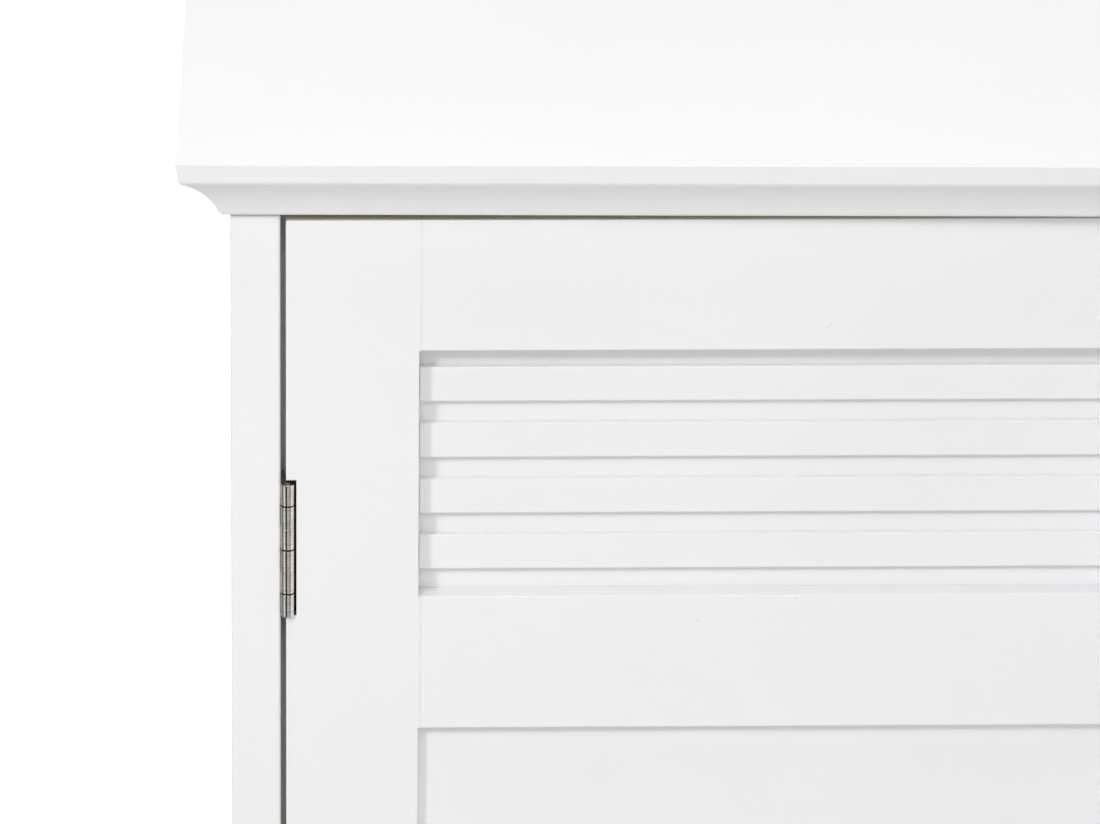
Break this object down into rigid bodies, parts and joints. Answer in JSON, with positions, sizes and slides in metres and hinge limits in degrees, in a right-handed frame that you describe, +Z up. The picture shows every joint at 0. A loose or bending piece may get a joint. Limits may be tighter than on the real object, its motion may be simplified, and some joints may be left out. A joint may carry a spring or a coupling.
{
  "type": "louvred door cabinet",
  "caption": "White freestanding cabinet with a moulded top and a left hung inset door, louvred above a flat panel, over shelves inside.",
  "frame": {"origin": "middle of the footprint on the floor", "axes": "+X to the right as seen from the front, +Y to the back, +Z up; the door faces -Y"},
  "size_m": [0.4392, 0.3196, 0.82],
  "materials": {
    "white_paint": "satin white paint on fibreboard",
    "white_hardboard": "white faced hardboard",
    "nickel_plate": "bright nickel plate",
    "brushed_nickel": "satin brushed nickel",
    "zinc_plate": "zinc plate",
    "white_plastic": "moulded, matte",
    "ferrite": "dull ground ferrite",
    "birch": "plain grooved birch"
  },
  "bodies": {
    "carcass": {"apron_dowels": "birch", "back_panel": "white_hardboard", "back_panel_nails": "zinc_plate", "bottom_cam_bolts": "zinc_plate", "bottom_cam_locks": "zinc_plate", "bottom_dowels": "birch", "bottom_panel": "white_paint", "catch_body": "white_plastic", "catch_magnet": "ferrite", "catch_pole_plates": "zinc_plate", "catch_screws": "zinc_plate", "floor_glides": "white_plastic", "front_apron": "white_paint", "gap_strip": "white_paint", "glide_nails": "zinc_plate", "hinge_frame_screws": "nickel_plate", "hinge_lower_frame_leaf": "nickel_plate", "hinge_lower_pin": "nickel_plate", "hinge_upper_frame_leaf": "nickel_plate", "hinge_upper_pin": "nickel_plate", "shelf_lower": "white_paint", "shelf_pins": "zinc_plate", "shelf_upper": "white_paint", "side_panel_left": "white_paint", "side_panel_right": "white_paint", "top_board": "white_paint", "top_cam_bolts": "zinc_plate", "top_cam_locks": "zinc_plate", "top_dowels": "birch", "wall_bracket": "zinc_plate", "wall_bracket_screws": "zinc_plate"},
    "door": {"door_bottom_rail": "white_paint", "door_dowels": "birch", "door_knob": "brushed_nickel", "door_mid_rail": "white_paint", "door_panel": "white_paint", "door_stile_free_side": "white_paint", "door_stile_hinge_side": "white_paint", "door_top_rail": "white_paint", "hinge_door_screws": "nickel_plate", "hinge_lower_door_leaf": "nickel_plate", "hinge_upper_door_leaf": "nickel_plate", "knob_screw": "zinc_plate", "louvre_backing": "white_paint", "louvre_slat_1": "white_paint", "louvre_slat_2": "white_paint", "louvre_slat_3": "white_paint", "louvre_slat_4": "white_paint", "strike_plate": "zinc_plate", "strike_screw": "zinc_plate"}
  },
  "joints": [
    {"name": "door_swing", "type": "hinge", "parent": "carcass", "child": "door", "pos_m": [-0.17945, -0.1407, 0.44368], "axis": [0, 0, -1], "range_deg": [0, 180]}
  ]
}
